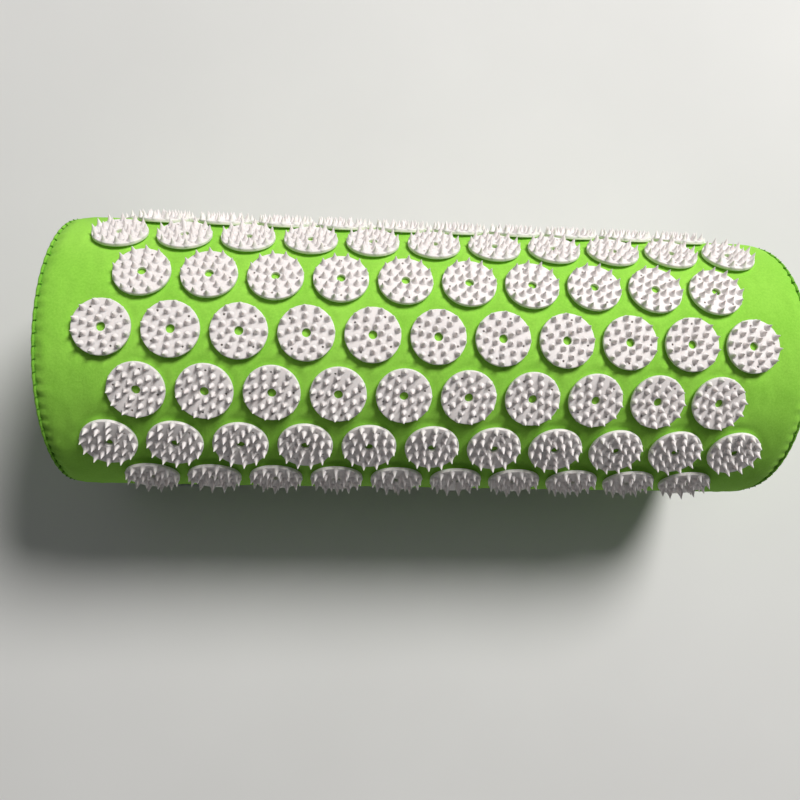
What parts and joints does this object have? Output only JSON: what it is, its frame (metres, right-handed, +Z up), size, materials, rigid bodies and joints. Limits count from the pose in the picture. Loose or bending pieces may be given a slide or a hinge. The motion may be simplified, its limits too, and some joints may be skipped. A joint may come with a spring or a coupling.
{
  "type": "foot massage roller",
  "caption": "Round foam bolster in a zipped cotton cover studded with rows of plastic spike discs, rolled under the foot or laid under the neck.",
  "frame": {"origin": "under the middle of the roller, at the height of the spike tips that it stands on", "axes": "+X along the roller towards the right end, +Z up through the top row of discs, -Y towards the side with the zip"},
  "size_m": [0.394, 0.1606, 0.162],
  "materials": {
    "cover_cotton": "lime green plain-weave cotton, matt",
    "seam_binding": "overlocked cotton edge with green thread",
    "spike_plastic": "warm white moulded plastic, satin",
    "backing_plastic": "white moulded plastic, plain",
    "foam": "open-cell foam, cream",
    "lining": "white non-woven, matt",
    "zip_tape": "green woven tape",
    "zip_nylon": "green nylon",
    "zip_metal": "nickel plated, satin"
  },
  "bodies": {
    "roller": {"foam_core": "foam", "inner_lining": "lining", "cover_tube": "cover_cotton", "end_panel_left": "cover_cotton", "end_panel_right": "cover_cotton", "end_seam_left": "seam_binding", "end_seam_right": "seam_binding", "zip_tape_upper": "zip_tape", "zip_tape_lower": "zip_tape", "zip_teeth_upper": "zip_nylon", "zip_teeth_lower": "zip_nylon", "zip_top_stops": "zip_metal", "zip_bottom_stop": "zip_metal", "spike_discs_row_01": "spike_plastic", "spike_discs_row_02": "spike_plastic", "spike_discs_row_03": "spike_plastic", "spike_discs_row_04": "spike_plastic", "spike_discs_row_05": "spike_plastic", "spike_discs_row_06": "spike_plastic", "spike_discs_row_07": "spike_plastic", "spike_discs_row_08": "spike_plastic", "spike_discs_row_09": "spike_plastic", "spike_discs_row_10": "spike_plastic", "spike_discs_row_11": "spike_plastic", "spike_discs_row_12": "spike_plastic", "spike_discs_row_13": "spike_plastic", "spike_discs_row_14": "spike_plastic", "backing_rings_row_01": "backing_plastic", "backing_rings_row_02": "backing_plastic", "backing_rings_row_03": "backing_plastic", "backing_rings_row_04": "backing_plastic", "backing_rings_row_05": "backing_plastic", "backing_rings_row_06": "backing_plastic", "backing_rings_row_07": "backing_plastic", "backing_rings_row_08": "backing_plastic", "backing_rings_row_09": "backing_plastic", "backing_rings_row_10": "backing_plastic", "backing_rings_row_11": "backing_plastic", "backing_rings_row_12": "backing_plastic", "backing_rings_row_13": "backing_plastic", "backing_rings_row_14": "backing_plastic"},
    "slider": {"zip_slider": "zip_metal"},
    "pull_tab": {"zip_pull_tab": "zip_metal"}
  },
  "joints": [
    {"name": "zip_travel", "type": "slide", "parent": "roller", "child": "slider", "axis": [1, 0, 0], "range_m": [0, 0.304]},
    {"name": "pull_tab_flip", "type": "hinge", "parent": "slider", "child": "pull_tab", "pos_m": [-0.1522, -0.07647, 0.06594], "axis": [0, 0.1951, -0.9808], "range_deg": [0, 170]}
  ]
}
